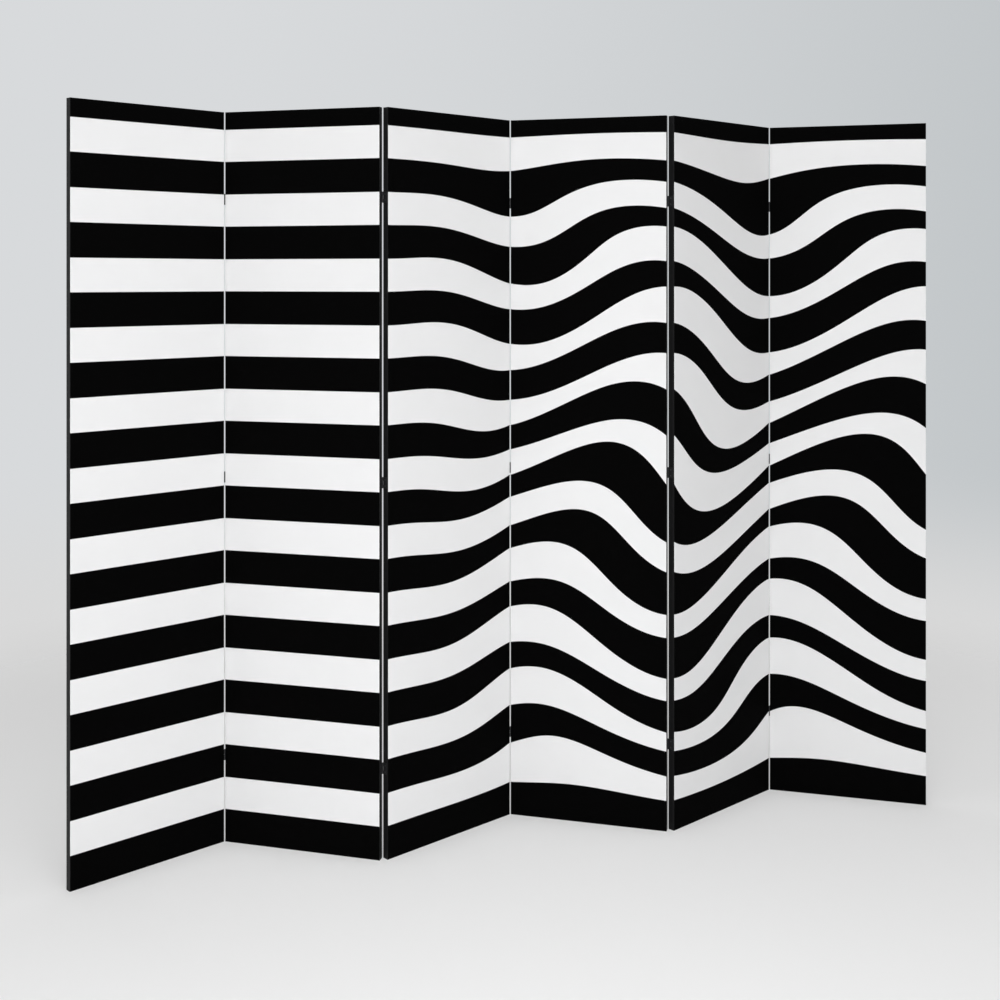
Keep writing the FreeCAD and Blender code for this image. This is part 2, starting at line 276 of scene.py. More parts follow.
# The other end of a mix, as a share of a finish's own colour
CLOUD_SHADE = 0.975
INK_SHADE = 2.5
GRAIN_SHADE = 0.7
RUBBED_SHADE = 1.7
SPOT_SHADE = 3.0
PATCH_SHADE = 0.99
SLUB_COLOUR = (0.8, 0.79, 0.77)
SLUB_SHARE = 0.5

# Roughness, and what a feature adds to it
CLOTH_ROUGHNESS = 0.8
INK_ROUGHNESS = -0.16
CLOUD_ROUGHNESS = 0.12
PAINT_ROUGHNESS = 0.42
GRAIN_ROUGHNESS = 0.2
RUBBED_ROUGHNESS = -0.14
PEEL_ROUGHNESS = 0.16

# How far a thread wanders, as a share of its pitch
WANDER_SHARE = 0.6
# The height of a thread on its own, and how much it rises or dips at a crossing
THREAD_LEVEL, THREAD_DIP = 0.6, 0.4
# What slubs add to the height of the weave, and pores to that of the grain
SLUB_RELIEF = 0.5
PORE_RELIEF = -0.6
# The height of the lacquer's peel, in metres
PEEL_RELIEF = 0.00004


def shade(colour, share=1.0):
    """A share of a colour, as four numbers."""
    return (*(share * part for part in colour), 1)


def new_material(name, **sockets):
    """A material with its node tree and shader, whose plain numbers are set on the shader."""
    material = bpy.data.materials.new(name)
    material.use_nodes = True
    tree = material.node_tree
    shader = next(node for node in tree.nodes if node.type == "BSDF_PRINCIPLED")
    for label, number in sockets.items():
        shader.inputs[label.replace("_", " ")].default_value = number
    return material, tree, shader


def colour_mix(tree, factor, one, other):
    """A colour between two, each four numbers."""
    sockets = {"Factor": factor, "A": one, "B": other}
    return add_node(tree, "ShaderNodeMix", sockets, data_type="RGBA").outputs["Result"]


def shader_mix(tree, factor, one, other):
    """A shader between two."""
    return add_node(tree, "ShaderNodeMixShader", {0: factor, 1: one, 2: other}).outputs[0]


def object_place(tree):
    """The place on a piece that a texture is read at."""
    return add_node(tree, "ShaderNodeTexCoord").outputs["Object"]


def add_noise(tree, place, noise):
    """The grey value of a noise texture."""
    scale, detail, roughness = noise
    sockets = {"Vector": place, "Scale": scale, "Detail": detail, "Roughness": roughness}
    return add_node(tree, "ShaderNodeTexNoise", sockets).outputs["Fac"]


def stretched(tree, place, scale, turn=0.0):
    """Coordinates turned about the vertical, then scaled."""
    sockets = {"Vector": place, "Angle": turn}
    turned = add_node(tree, "ShaderNodeVectorRotate", sockets, rotation_type="Z_AXIS")
    sockets = {"Vector": turned.outputs[0], "Scale": scale}
    return add_node(tree, "ShaderNodeMapping", sockets).outputs[0]


def add_bump(tree, shader, height, distance):
    """Relief from a height between 0 and 1."""
    bump = add_node(tree, "ShaderNodeBump", {"Height": height, "Distance": distance})
    tree.links.new(bump.outputs[0], shader.inputs["Normal"])


def add_bands(tree, across, up, ink, wavy):
    """1 where the print is black. The bands are level, or run into leaning waves."""
    share = ink.black_share
    if wavy:
        calm = ease(tree, across, ink.wave_start, ink.wave_full)
        low = ease(tree, up, 0.0, ink.calm_border)
        high = ease(tree, up, PANEL_HEIGHT - ink.calm_border, PANEL_HEIGHT, 1.0, 0.0)
        strength = times(tree, calm, times(tree, low, high))
        lean = work_out(tree, "SINE", times(tree, up, math.tau / PANEL_HEIGHT))
        run = minus(tree, across, ink.wave_start)
        turns = times(tree, run, math.tau / ink.wave_length)
        wave = work_out(tree, "SINE", times_plus(tree, lean, ink.wave_lean, turns))
        rise = times(tree, strength, ink.wave_height)
        up = times_plus(tree, wave, rise, up)
        swell_turns = times_plus(tree, up, ink.swell_lean, turns)
        swell = times(tree, work_out(tree, "SINE", swell_turns), ink.swell)
        share = times_plus(tree, swell, strength, ink.black_share)
    above = minus(tree, up, ink.lowest_black)
    level = work_out(tree, "COSINE", times(tree, above, math.tau / ink.band_pitch))
    edge = work_out(tree, "COSINE", times(tree, share, math.pi))
    return ease(tree, minus(tree, level, edge), -ink.bleed, ink.bleed)


def add_weave(tree, across, up, pitch):
    """The height of a plain weave, with threads across and up."""
    warp = work_out(tree, "SINE", times(tree, across, math.pi / pitch))
    weft = work_out(tree, "SINE", times(tree, up, math.pi / pitch))
    over = times(tree, warp, weft)
    heights = []
    for thread, dip in ((warp, THREAD_DIP), (weft, -THREAD_DIP)):
        level = times_plus(tree, over, dip, THREAD_LEVEL)
        heights.append(times(tree, work_out(tree, "ABSOLUTE", thread), level))
    return work_out(tree, "MAXIMUM", *heights)


def make_print(name, wavy):
    """Matt woven cloth, printed with black and white bands."""
    scene = bpy.context.scene
    ink, cloth = scene.screen_print, scene.screen_cloth
    material, tree, shader = new_material(name, Specular_IOR_Level=0.01)
    place = add_node(tree, "ShaderNodeUVMap", uv_map=PRINT_MAP).outputs[0]
    axes = split(tree, place)
    black = add_bands(tree, axes["X"], axes["Y"], ink, wavy)
    cloudy = add_noise(tree, place, CLOTH_CLOUDS)
    slubs = add_noise(tree, stretched(tree, place, SLUB_SCALE), CLOTH_SLUBS)
    paper = colour_mix(tree, cloudy, shade(ink.white, CLOUD_SHADE), shade(ink.white))
    slubbed = ease(tree, slubs, *SLUB_RANGE, 0.0, SLUB_SHARE)
    paper = colour_mix(tree, slubbed, paper, shade(SLUB_COLOUR))
    pigment = colour_mix(tree, slubs, shade(ink.black), shade(ink.black, INK_SHADE))
    tree.links.new(colour_mix(tree, black, paper, pigment), shader.inputs["Base Color"])
    rough = times_plus(tree, black, INK_ROUGHNESS, CLOTH_ROUGHNESS)
    rough = times_plus(tree, cloudy, CLOUD_ROUGHNESS, rough)
    tree.links.new(rough, shader.inputs["Roughness"])

    # The threads wander a little, and some are thicker than others
    wander = add_noise(tree, place, THREAD_WANDER)
    aside = WANDER_SHARE * cloth.thread_pitch
    drift = times_plus(tree, wander, aside, axes["X"])
    climb = times_plus(tree, wander, -aside, axes["Y"])
    weave = add_weave(tree, drift, climb, cloth.thread_pitch)
    add_bump(tree, shader, times_plus(tree, slubs, SLUB_RELIEF, weave), cloth.thread_relief)
    return material


def make_paint(name, turn, stretch):
    """Black satin paint on wood, whose grain runs along the member it is on."""
    wood = bpy.context.scene.screen_wood
    material, tree, shader = new_material(name, Specular_IOR_Level=0.16)
    place = object_place(tree)
    along = stretched(tree, place, stretch, turn)
    grain = add_noise(tree, along, WOOD_GRAIN)
    pores = ease(tree, add_noise(tree, along, WOOD_PORES), *PORE_RANGE)
    rubbed = ease(tree, add_noise(tree, place, PAINT_RUBBING), *RUBBED_RANGE)
    base = colour_mix(tree, grain, shade(wood.paint, GRAIN_SHADE), shade(wood.paint))
    base = colour_mix(tree, rubbed, base, shade(wood.paint, RUBBED_SHADE))
    tree.links.new(base, shader.inputs["Base Color"])
    rough = times_plus(tree, grain, GRAIN_ROUGHNESS, PAINT_ROUGHNESS)
    rough = times_plus(tree, rubbed, RUBBED_ROUGHNESS, rough)
    tree.links.new(rough, shader.inputs["Roughness"])
    add_bump(tree, shader, times_plus(tree, pores, PORE_RELIEF, grain), wood.grain_relief)
    return material


def make_lacquer(name, colour, rough):
    """Black lacquer on steel, a little uneven, with a few rubbed spots."""
    material, tree, shader = new_material(name, Metallic=0.55, Specular_IOR_Level=0.35)
    place = object_place(tree)
    peel = add_noise(tree, place, LACQUER_PEEL)
    spots = ease(tree, add_noise(tree, place, LACQUER_SPOTS), *SPOT_RANGE)
    base = colour_mix(tree, spots, shade(colour), shade(colour, SPOT_SHADE))
    tree.links.new(base, shader.inputs["Base Color"])
    tree.links.new(times_plus(tree, peel, PEEL_ROUGHNESS, rough), shader.inputs["Roughness"])
    add_bump(tree, shader, peel, PEEL_RELIEF)
    return material


def ray_is_seen(tree):
    """1 for what the camera sees, also in gloss and through glass, and 0 for light."""
    path = add_node(tree, "ShaderNodeLightPath")
    seen = path.outputs["Is Camera Ray"]
    for ray in ("Is Glossy Ray", "Is Transmission Ray"):
        seen = work_out(tree, "MAXIMUM", seen, path.outputs[ray])
    return seen


def make_floor():
    """Pale floor that fades into the backdrop well away from the screen."""
    stage = bpy.context.scene.screen_stage
    material, tree, shader = new_material("floor", Roughness=0.9, Specular_IOR_Level=0.1)
    place = object_place(tree)
    patches = add_noise(tree, place, FLOOR_PATCHES)
    tone = colour_mix(tree, patches, shade(stage.floor, PATCH_SHADE), shade(stage.floor))
    tree.links.new(tone, shader.inputs["Base Color"])
    glow = add_node(tree, "ShaderNodeEmission", {"Color": tone})
    own = times(tree, ray_is_seen(tree), stage.glow)
    lit = shader_mix(tree, own, shader.outputs[0], glow.outputs[0])
    away = add_node(tree, "ShaderNodeVectorMath", {0: place}, operation="LENGTH").outputs["Value"]
    gone = ease(tree, away, stage.fade_start, stage.fade_end)
    clear = add_node(tree, "ShaderNodeBsdfTransparent")
    mixed = shader_mix(tree, gone, lit, clear.outputs[0])
    output = next(node for node in tree.nodes if node.type == "OUTPUT_MATERIAL")
    tree.links.new(mixed, output.inputs["Surface"])
    return material


# The geometry trees

BARREL_SIDES = 32
HOLE_SIDES = 24
SHANK_SIDES = 12
THREAD_SIDES = 4
THREAD_STEPS = 12
KNUCKLES = 3.0
SCREWS_PER_LEAF = 2
# The bore's cutter, as a share of the hinge's height
BORE_SHARE = 1.2
# The countersink's cutter, where it starts and the hole's, as shares of a leaf's thickness
COUNTERSINK_SHARE = 1.02
COUNTERSINK_START_SHARE = 1.01
HOLE_SHARE = 4.0
# The straight share of a screw's length, and the threaded share of that
STRAIGHT_SHARE = 0.62
THREADED_SHARE = 0.75
# A screw's blunted point, in metres
POINT_RADIUS = 0.00008
# Between the random seeds of one panel's screws and the next panel's
SEED_STEP = 10


def placed(tree, geometry, spot=(0, 0, 0), rotation=(0, 0, 0)):
    """Geometry turned and then moved, each by three numbers or a socket."""
    sockets = {"Geometry": geometry, "Translation": spot, "Rotation": rotation}
    return add_node(tree, "GeometryNodeTransform", sockets).outputs[0]


def add_block(tree, size):
    """A block of a given size, with its middle at the origin."""
    return add_node(tree, "GeometryNodeMeshCube", {"Size": size}).outputs["Mesh"]


def add_rod(tree, radius, length, sides):
    """A round rod along z, with its middle at the origin."""
    sockets = {"Vertices": sides, "Radius": radius, "Depth": length}
    return add_node(tree, "GeometryNodeMeshCylinder", sockets).outputs["Mesh"]


def add_cone(tree, top, bottom, height, sides):
    """A cone or a cone's lower part, standing on the origin."""
    sockets = {"Vertices": sides, "Radius Top": top, "Radius Bottom": bottom, "Depth": height}
    return add_node(tree, "GeometryNodeMeshCone", sockets).outputs["Mesh"]


def combine(tree, operation, one, *others):
    """Solids joined, or cut out of the first."""
    node = add_node(tree, "GeometryNodeMeshBoolean", operation=operation, solver="EXACT")
    if operation == "DIFFERENCE":
        tree.links.new(one, node.inputs["Mesh 1"])
    else:
        others = (one, *others)
    for other in others:
        tree.links.new(other, node.inputs["Mesh 2"])
    return node.outputs["Mesh"]


def on_points(tree, points, geometry, rotation=(0, 0, 0)):
    """A copy of the geometry on every point."""
    sockets = {"Points": points, "Instance": geometry, "Rotation": rotation}
    return add_node(tree, "GeometryNodeInstanceOnPoints", sockets).outputs[0]


def repeat(tree, geometry, count, step):
    """Copies in a row, each a step on from the last, with the row's middle at the origin."""
    spread = times(tree, minus(tree, count, 1.0), -0.5)
    start = add_node(tree, "ShaderNodeVectorMath", {0: step, "Scale": spread}, operation="SCALE")
    sockets = {"Count": count, "Offset": step, "Start Location": start.outputs[0]}
    line = add_node(tree, "GeometryNodeMeshLine", sockets).outputs[0]
    copies = on_points(tree, line, geometry)
    return add_node(tree, "GeometryNodeRealizeInstances", {0: copies}).outputs[0]


def make_cloth_tree():
    """A sheet that lies on the members of a frame and sags a little between them."""
    tree, given = new_geometry_tree(
        "stretched_cloth",
        (
            "Width",
            "Height",
            "Stile Width",
            "End Rail",
            "Cross Rail",
            "Cross Rail Height",
            "Sag",
            "Sag Reach",
            "Print Start",
        ),
        ("Columns", "Rows"),
    )
    grid = add_node(
        tree,
        "GeometryNodeMeshGrid",
        {
            "Size X": given["Width"],
            "Size Y": given["Height"],
            "Vertices X": given["Columns"],
            "Vertices Y": given["Rows"],
        },
    ).outputs["Mesh"]
    upright = placed(tree, grid, rotation=(math.radians(90), 0, 0))
    axes = split(tree, tree.nodes.new("GeometryNodeInputPosition").outputs[0])
    half_width = times(tree, given["Width"], 0.5)
    half_height = times(tree, given["Height"], 0.5)

    # How far a spot is from the nearest stile and rail, and so how deep it has sunk
    aside = work_out(tree, "ABSOLUTE", axes["X"])
    aloft = work_out(tree, "ABSOLUTE", axes["Z"])
    from_stile = minus(tree, minus(tree, half_width, given["Stile Width"]), aside)
    from_end_rail = minus(tree, minus(tree, half_height, given["End Rail"]), aloft)
    to_middle = work_out(tree, "ABSOLUTE", minus(tree, aloft, given["Cross Rail Height"]))
    from_cross_rail = minus(tree, to_middle, times(tree, given["Cross Rail"], 0.5))
    from_rail = work_out(tree, "MINIMUM", from_end_rail, from_cross_rail)
    shares = [ease(tree, away, 0.0, given["Sag Reach"]) for away in (from_stile, from_rail)]
    sunk = times(tree, times(tree, *shares), given["Sag"])
    sockets = {"Geometry": upright, "Offset": vector(tree, Y=sunk)}
    sagged = add_node(tree, "GeometryNodeSetPosition", sockets).outputs[0]

    from_left = work_out(tree, "ADD", axes["X"], half_width)
    spot = vector(
        tree,
        X=work_out(tree, "ADD", from_left, given["Print Start"]),
        Y=work_out(tree, "ADD", axes["Z"], half_height),
    )
    mapped = add_node(
        tree,
        "GeometryNodeStoreNamedAttribute",
        {"Geometry": sagged, "Name": PRINT_MAP},
        data_type="FLOAT2",
        domain="CORNER",
    )
    tree.links.new(spot, mapped.inputs["Value"])
    end_tree(tree, mapped.outputs[0], given["Material"])
    return tree


def make_leaf_tree():
    """The leaves on one side of a fold: plates with rolled knuckles and countersunk holes."""
    tree, given = new_geometry_tree(
        "hinge_leaves",
        (
            "Hand",
            "Leaf Depth",
            "Leaf Height",
            "Leaf Thickness",
            "Gap",
            "Knuckle Radius",
            "Knuckle Play",
            "Bore Radius",
            "Notch Play",
            "Hole Radius",
            "Mouth Radius",
            "Screw Reach",
            "Screw Pitch",
            "Spacing",
        ),
        ("Count",),
    )
    depth, height, thickness = given["Leaf Depth"], given["Leaf Height"], given["Leaf Thickness"]
    half_gap = times(tree, given["Gap"], 0.5)
    plate_middle = vector(
        tree,
        X=times(tree, times_plus(tree, thickness, -0.5, half_gap), given["Hand"]),
        Y=times(tree, depth, 0.5),
    )
    plate = add_block(tree, vector(tree, X=thickness, Y=depth, Z=height))
    plate = placed(tree, plate, plate_middle)
    barrel = add_rod(tree, given["Knuckle Radius"], height, BARREL_SIDES)
    whole = combine(tree, "UNION", plate, barrel)

    # The middle third is cut back on a left hand, and the outer thirds on a right hand
    reach = work_out(tree, "ADD", given["Knuckle Radius"], given["Notch Play"])
    cut_width = times(tree, reach, 2.0)
    third = work_out(tree, "DIVIDE", height, KNUCKLES)
    cut_height = work_out(tree, "ADD", third, given["Knuckle Play"])
    middle_cut = add_block(tree, vector(tree, X=cut_width, Y=cut_width, Z=cut_height))
    end_cuts = repeat(tree, middle_cut, 2, vector(tree, Z=times(tree, third, 2.0)))
    is_right = work_out(tree, "GREATER_THAN", given["Hand"], 0.0)
    sockets = {"Switch": is_right, "False": middle_cut, "True": end_cuts}
    cuts = add_node(tree, "GeometryNodeSwitch", sockets).outputs[0]
    bore_length = times(tree, height, BORE_SHARE)
    bore = add_rod(tree, given["Bore Radius"], bore_length, HOLE_SIDES)

    # The holes open towards the middle of the fold
    deep = times(tree, thickness, COUNTERSINK_SHARE)
    cone = add_cone(tree, given["Hole Radius"], given["Mouth Radius"], deep, HOLE_SIDES)
    through = times(tree, thickness, HOLE_SHARE)
    shank = add_rod(tree, given["Hole Radius"], through, HOLE_SIDES)
    hole = combine(tree, "UNION", cone, shank)
    face = minus(tree, half_gap, times(tree, thickness, COUNTERSINK_START_SHARE))
    mouth = vector(tree, X=times(tree, face, given["Hand"]), Y=given["Screw Reach"])
    quarter = vector(tree, Y=times(tree, given["Hand"], math.radians(90)))
    sideways = placed(tree, hole, mouth, quarter)
    holes = repeat(tree, sideways, SCREWS_PER_LEAF, vector(tree, Z=given["Screw Pitch"]))
    leaf = combine(tree, "DIFFERENCE", whole, cuts, bore, holes)
    leaves = repeat(tree, leaf, given["Count"], vector(tree, Z=given["Spacing"]))
    end_tree(tree, leaves, given["Material"])
    return tree


def make_screw_tree():
    """Countersunk wood screws with a cross recess, each turned by its own angle."""
    tree, given = new_geometry_tree(
        "wood_screws",
        (
            "Hand",
            "Screw Length",
            "Core Radius",
            "Thread Radius",
            "Thread Turns",
            "Head Radius",
            "Leaf Thickness",
            "Recess Width",
            "Recess Slot",
            "Recess Depth",
            "Face",
            "Screw Reach",
            "Screw Pitch",
            "Spacing",
        ),
        ("Count", "Seed"),
    )
    # The head, as high as the leaf is thick, with its cross cut from two bars
    head_height, core = given["Leaf Thickness"], given["Core Radius"]
    head = add_cone(tree, given["Head Radius"], core, head_height, HOLE_SIDES)
    head = placed(tree, head, vector(tree, Z=times(tree, head_height, -1.0)))
    wide, slot = given["Recess Width"], given["Recess Slot"]
    twice = times(tree, given["Recess Depth"], 2.0)
    bars = [
        add_block(tree, vector(tree, X=x, Y=y, Z=twice)) for x, y in ((wide, slot), (slot, wide))
    ]
    head = combine(tree, "DIFFERENCE", head, combine(tree, "UNION", *bars))

    # The core, its point, and a thread wound round it
    straight = times(tree, given["Screw Length"], STRAIGHT_SHARE)
    shank = add_rod(tree, core, straight, SHANK_SIDES)
    half_way = times_plus(tree, straight, -0.5, times(tree, head_height, -0.5))
    shank = placed(tree, shank, vector(tree, Z=half_way))
    tip_start = times_plus(tree, straight, 0.5, times(tree, half_way, -1.0))
    tip_length = minus(tree, given["Screw Length"], tip_start)
    tip = add_cone(tree, core, POINT_RADIUS, tip_length, SHANK_SIDES)
    tip = placed(tree, tip, vector(tree, Z=times(tree, given["Screw Length"], -1.0)))
    spiral = add_node(
        tree,
        "GeometryNodeCurveSpiral",
        {
            "Resolution": THREAD_STEPS,
            "Rotations": given["Thread Turns"],
            "Start Radius": core,
            "End Radius": core,
            "Height": times(tree, straight, THREADED_SHARE),
        },
    ).outputs[0]
    sockets = {"Resolution": THREAD_SIDES, "Radius": minus(tree, given["Thread Radius"], core)}
    ridge = add_node(tree, "GeometryNodeCurvePrimitiveCircle", sockets).outputs[0]
    sockets = {"Curve": spiral, "Profile Curve": ridge, "Fill Caps": True}
    thread = add_node(tree, "GeometryNodeCurveToMesh", sockets).outputs[0]
    thread = placed(tree, thread, vector(tree, Z=times(tree, tip_start, -1.0)))
    screw = add_node(tree, "GeometryNodeJoinGeometry")
    for part in (head, shank, tip, thread):
        tree.links.new(part, screw.inputs[0])

    # Rows of points up the edge, then the screws on them, laid over into the wood
    point = add_node(tree, "GeometryNodeMeshLine", {"Count": 1}).outputs[0]
    pairs = repeat(tree, point, SCREWS_PER_LEAF, vector(tree, X=given["Screw Pitch"]))
    column = repeat(tree, pairs, given["Count"], vector(tree, X=given["Spacing"]))
    spin = add_node(tree, "FunctionNodeRandomValue", {"Seed": given["Seed"]}, data_type="FLOAT")
    spin.inputs[3].default_value = math.tau
    copies = on_points(tree, column, screw.outputs[0], vector(tree, Z=spin.outputs["Value"]))
    level = times(tree, given["Face"], -1.0)
    copies = placed(tree, copies, vector(tree, Y=given["Screw Reach"], Z=level))
    quarter = times(tree, given["Hand"], math.radians(-90))
    copies = placed(tree, copies, rotation=vector(tree, Y=quarter))
    end_tree(tree, copies, given["Material"])
    return tree


# Settings


def length_property(label, default, note):
    """A length in metres."""
    return FloatProperty(
        name=label, description=note, default=default, unit="LENGTH", precision=5, step=0.01
    )


def number_property(label, default, note):
    """A plain number."""
    return FloatProperty(name=label, description=note, default=default, precision=3)


def colour_property(label, default, note):
    """A linear colour."""
    return FloatVectorProperty(
        name=label, description=note, default=default, subtype="COLOR", size=3, min=0, max=1
    )


class PrintSettings(bpy.types.PropertyGroup):
    """The bands printed on the cloth"""

    band_pitch: length_property("Band pitch", 0.1596, "From one black band to the next")
    black_share: number_property("Black share", 0.507, "Black's share of the pitch")
    lowest_black: length_property("Lowest band", 0.04105, "Height of the lowest band's middle")
    bleed: number_property("Bleed", 0.006, "Softness of a band's edge")
    wave_start: length_property("Wave start", 0.812, "Along the print to where the waves begin")
    wave_full: length_property("Wave full", 1.5, "Along the print to where they are full size")
    wave_length: length_property("Wave length", 0.812, "From crest to crest")
    wave_height: length_property("Wave height", 0.085, "Of a crest above the band's own level")
    wave_lean: number_property("Wave lean", 1.5, "How far the crests lean from the upright")
    swell: number_property("Swell", 0.14, "How much thicker and thinner the bands grow")
    swell_lean: number_property("Swell lean", 3.0, "How far the thick places lean")
    calm_border: length_property("Calm border", 0.34, "At the top and bottom, where waves fade")
    white: colour_property("White", (0.86, 0.86, 0.865), "Of the cloth where it isn't printed")
    black: colour_property("Black", (0.0008, 0.0008, 0.0008), "Of the ink")


class ClothSettings(bpy.types.PropertyGroup):
    """The cloth and the frame that it is stretched on"""

    width: length_property("Width", 0.406, "Across one panel")
    thickness: length_property("Thickness", 0.0006, "Of the cloth")
    frame_thickness: length_property("Frame thickness", 0.017, "Front to back")
    stile_width: length_property("Stile width", 0.040, "Across an upright")
    end_rail: length_property("End rail", 0.040, "Height of the top and bottom rails")
    cross_rail: length_property("Cross rail", 0.030, "Height of an inner rail")
    sag: length_property("Sag", 0.0007, "How deep the cloth sinks between the members")
    sag_reach: length_property("Sag reach", 0.075, "From a member to where the sag is full")
    rolled_edge: length_property("Rolled edge", 0.00022, "Rounding at the cut edges")
    thread_pitch: length_property("Thread pitch", 0.0009, "From thread to thread")
    thread_relief: length_property("Thread relief", 0.00012, "Height of the threads")
    columns: IntProperty(name="Columns", description="Vertices across", default=42, min=2)
    rows: IntProperty(name="Rows", description="Vertices up", default=121, min=2)


class WoodSettings(bpy.types.PropertyGroup):
    """The painted members of the frames"""

    paint: colour_property("Paint", (0.0088, 0.0088, 0.0092), "Of the painted wood")
    grain_relief: length_property("Grain relief", 0.00015, "Depth of the grain under the paint")


class HingeSettings(bpy.types.PropertyGroup):
    """The small butt hinges and their screws"""

    count: IntProperty(name="Hinges", description="Hinges on each fold", default=3, min=1)
    spacing: length_property("Spacing", 0.685, "From one hinge to the next")
    gap: length_property("Gap", 0.0028, "Between two panels that stand in line")
    leaf_height: length_property("Leaf height", 0.027, "Of one hinge")
    leaf_depth: length_property("Leaf depth", 0.014, "From the pin to a leaf's far edge")
    leaf_thickness: length_property("Leaf thickness", 0.0008, "Of a leaf and a screw's head")
    knuckle_radius: length_property("Knuckle radius", 0.0013, "Outside of a knuckle")
    knuckle_play: length_property("Knuckle play", 0.0001, "Between neighbouring knuckles")
    notch_play: length_property("Notch play", 0.0003, "Between a knuckle and the other leaf")
    bore_radius: length_property("Bore radius", 0.00058, "Of the hole for the pin")
    steel: colour_property("Steel", (0.03, 0.03, 0.032), "Lacquer on leaves and pins")
    steel_roughness: number_property("Steel roughness", 0.38, "Of leaves and pins")
    screw_steel: colour_property("Screw steel", (0.09, 0.09, 0.093), "Finish of the screws")
    screw_roughness: number_property("Screw roughness", 0.24, "Of the screws")
    screw_reach: length_property("Screw reach", 0.008, "From the pin to a screw")
    screw_pitch: length_property("Screw pitch", 0.015, "Between the screws of a leaf")
    screw_length: length_property("Screw length", 0.010, "Over all")
    core_radius: length_property("Core radius", 0.00072, "Of a screw inside its thread")
    thread_radius: length_property("Thread radius", 0.00098, "Of a screw over its thread")
    thread_turns: number_property("Thread turns", 6.0, "Of a screw's thread round its core")
    head_radius: length_property("Head radius", 0.0018, "Of a screw's head")
    head_play: length_property("Head play", 0.00005, "Between a head and its countersink")
    hole_radius: length_property("Hole radius", 0.0011, "Of the holes in a leaf")
    recess_width: length_property("Recess width", 0.0021, "Across the cross recess")
    recess_slot: length_property("Recess slot", 0.0005, "Across one arm of the recess")
    recess_depth: length_property("Recess depth", 0.0005, "Of the cross recess")


class StageSettings(bpy.types.PropertyGroup):
    """The floor, the light and the camera"""

    floor: colour_property("Floor", (0.84, 0.84, 0.84), "Of the floor")
    floor_radius: length_property("Floor radius", 12.0, "Of the round floor")
    left: colour_property("Left backdrop", (0.686, 0.701, 0.716), "Backdrop on the lit side")
    right: colour_property("Right backdrop", (0.440, 0.474, 0.491), "Backdrop on the far side")
    low: colour_property("Low backdrop", (0.693, 0.693, 0.693), "Backdrop just over the floor")
    glow: number_property("Floor glow", 0.36, "Share of the floor's tone that is its own")
    fade_start: length_property("Fade start", 1.4, "Where the floor begins to fade")
    fade_end: length_property("Fade end", 3.0, "Where the backdrop has taken over")
    ambient: number_property("Ambient", 0.2, "Light that comes from all round")
    lens: FloatProperty(name="Lens", description="Focal length", default=49.95, unit="CAMERA")
    shift: number_property("Shift", -0.2205, "Of the picture, down from level")


# Operators


class FOLDING_SCREEN_OT_paint_frames(bpy.types.Operator):
    """Gives the stiles and rails their black paint, with the grain along each member"""

    bl_idname = "folding_screen.paint_frames"
    bl_label = "Paint the frames"

    def execute(self, context):
        upright = make_paint("stile_paint", 0.0, UPRIGHT_GRAIN)
        level = {
            side: make_paint(f"rail_paint_{name}", -side * PANEL_TURN, LEVEL_GRAIN)
            for side, name in ((1, "odd"), (-1, "even"))
        }
        for panel in range(1, PANEL_COUNT + 1):
            for piece in FRAME_MEMBERS:
                node = frame["nodes"][f"panel_{panel}_{piece}"]
                paint = upright if "stile" in piece else level[panel_side(panel)]
                node.material_slots[0].material = paint
        return {"FINISHED"}


class FOLDING_SCREEN_OT_stretch_cloth(bpy.types.Operator):
    """Stretches a printed cloth over both faces of every frame"""

    bl_idname = "folding_screen.stretch_cloth"
    bl_label = "Stretch the cloth"

    def execute(self, context):
        cloth = context.scene.screen_cloth
        tree = make_cloth_tree()
        edge_paint = make_paint("edge_paint", 0.0, EDGE_GRAIN)
        prints = {FRONT: make_print("front_print", True), BACK: make_print("back_print", False)}
        for panel in range(1, PANEL_COUNT + 1):
            for face, name in ((FRONT, "front"), (BACK, "back")):
                mesh = self.cut(cloth, tree, panel, face, prints[face])
                sheet = new_piece(f"panel_{panel}_{name}_cloth", [mesh])
                sheet.data.materials.append(edge_paint)
                self.thicken(cloth, sheet)
                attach(sheet, f"panel_{panel}")
                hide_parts(f"panel_{panel}_{name}_canvas")
        return {"FINISHED"}

    def cut(self, cloth, tree, panel, face, material):
        """The outer face of one sheet. The back is the same sheet turned round."""
        # The print runs on from panel to panel, so a back is counted from the other end
        number = panel if face == FRONT else PANEL_COUNT + 1 - panel
        turned = Matrix.Rotation(0 if face == FRONT else math.pi, 4, "Z")
        out = -(cloth.frame_thickness / 2 + cloth.thickness)
        lift = Matrix.Translation((0, out, PANEL_HEIGHT / 2))
        # The cross rails stand at the thirds of the opening, measured from its middle
        rail_height = (PANEL_HEIGHT - 2 * cloth.end_rail + cloth.cross_rail) / 6
        return grow_mesh(
            tree,
            panel_place(panel) @ turned @ lift,
            cloth,
            height=PANEL_HEIGHT,
            cross_rail_height=rail_height,
            print_start=(number - 1) * cloth.width,
            material=material,
        )

    def thicken(self, cloth, sheet):
        """Gives a sheet its thickness, painted edges and a slight rounding."""
        body = sheet.modifiers.new("cloth_thickness", "SOLIDIFY")
        body.thickness = cloth.thickness
        body.offset = -1
        body.material_offset_rim = 1
        edge = sheet.modifiers.new("rolled_edge", "BEVEL")
        edge.width = cloth.rolled_edge
        edge.segments = 2
        edge.limit_method = "ANGLE"
        edge.angle_limit = BEVEL_OVER


